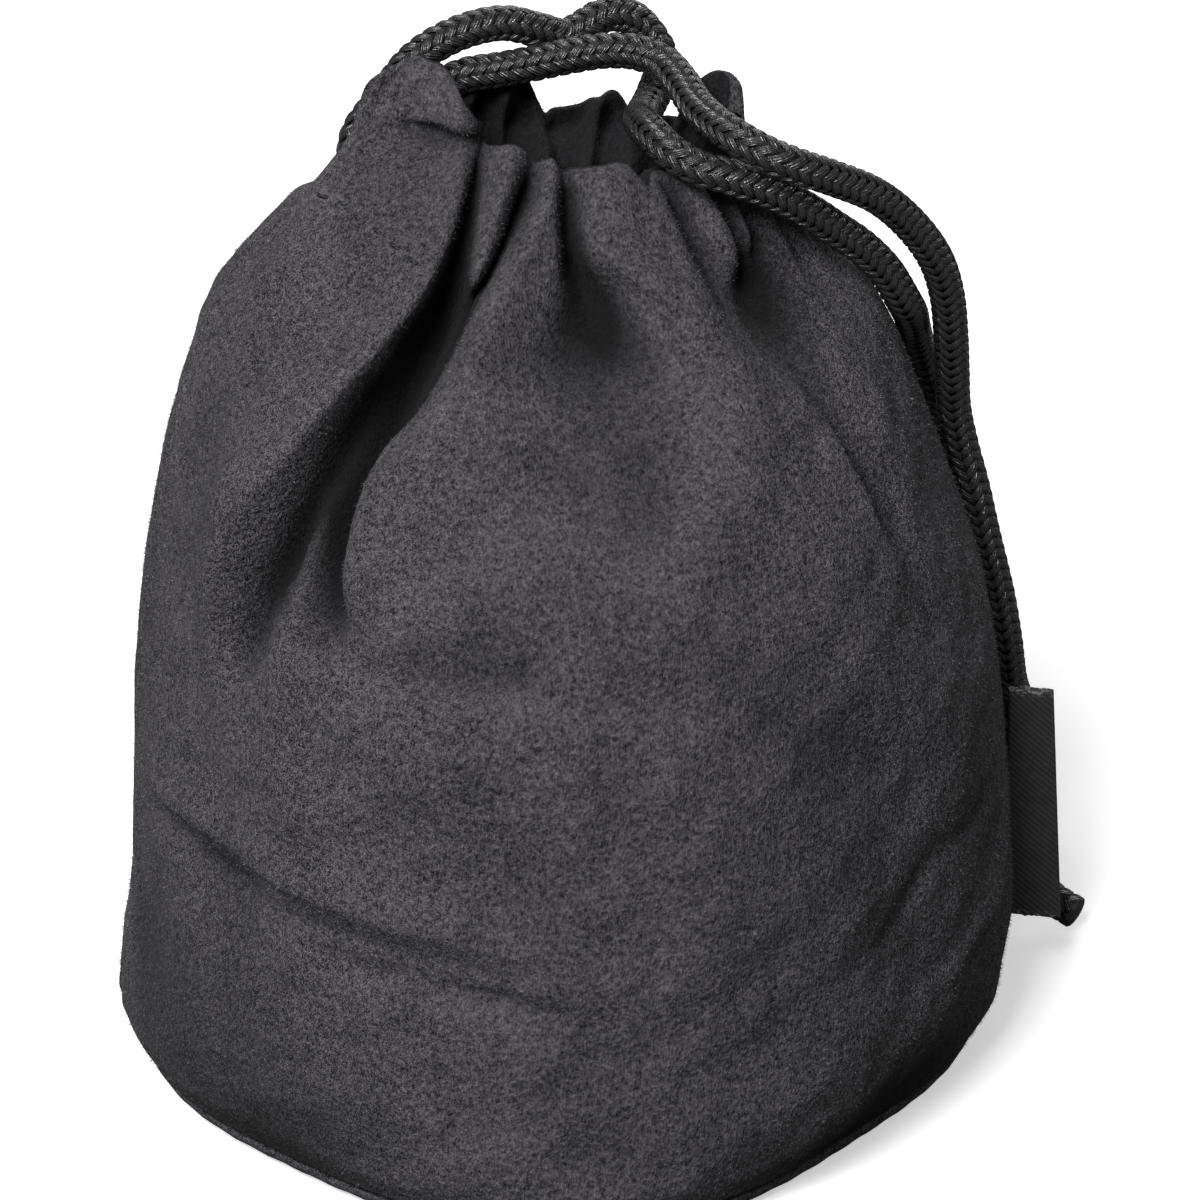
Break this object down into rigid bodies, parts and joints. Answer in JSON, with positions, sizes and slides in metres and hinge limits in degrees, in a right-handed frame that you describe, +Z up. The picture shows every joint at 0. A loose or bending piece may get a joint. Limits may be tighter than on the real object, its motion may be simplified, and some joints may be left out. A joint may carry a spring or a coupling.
{
  "type": "lens pouch",
  "caption": "Soft round-based drawstring pouch of napped charcoal cloth that holds a camera lens, with a gathered hem, a braided drawcord and a woven side label.",
  "frame": {"origin": "centre of the round base, on the surface that the pouch stands on", "axes": "+Z up, the two side seams lie on the X axis with the label at +X, and the front faces -Y"},
  "size_m": [0.1046, 0.0928, 0.1123],
  "materials": {
    "suede": "charcoal napped faux suede, matt with a soft sheen",
    "foam": "soft grey foam pad, matt",
    "thread": "charcoal sewing thread, slight sheen",
    "braid": "black tubular braided cord, slight sheen",
    "ribbon": "black twill-woven ribbon, satin"
  },
  "bodies": {
    "pouch": {"base_panel": "suede", "base_pad": "foam", "base_lining": "suede", "base_seam_thread": "thread", "front_panel": "suede", "back_panel": "suede", "left_seam_thread": "thread", "right_seam_thread": "thread"},
    "front_lip": {"front_casing": "suede", "front_casing_stitch": "thread", "drawcord_front_run": "braid"},
    "back_lip": {"back_casing": "suede", "back_casing_stitch": "thread", "drawcord_back_run": "braid"},
    "drawcord": {"drawcord_tail_a": "braid", "drawcord_tail_b": "braid", "end_knot": "braid", "cord_end_a": "braid", "cord_end_b": "braid"},
    "label": {"side_label": "ribbon"}
  },
  "joints": [
    {"name": "drawcord_pull", "type": "slide", "parent": "pouch", "child": "drawcord", "axis": [0, 0, 1], "range_m": [0, 0.008]},
    {"name": "front_lip_draw", "type": "slide", "parent": "pouch", "child": "front_lip", "axis": [0, 1, 0], "range_m": [0, 0.0012]},
    {"name": "back_lip_draw", "type": "slide", "parent": "pouch", "child": "back_lip", "axis": [0, -1, 0], "range_m": [0, 0.0012]},
    {"name": "label_flap", "type": "hinge", "parent": "pouch", "child": "label", "pos_m": [0.04757, 0, 0.022], "axis": [0, 0, -1], "range_deg": [-60, 75], "stiffness_Nm_per_rad": 0.00002}
  ],
  "couplings": [
    {"joint": "front_lip_draw", "follows": "drawcord_pull", "ratio": 0.15},
    {"joint": "back_lip_draw", "follows": "drawcord_pull", "ratio": 0.15}
  ]
}
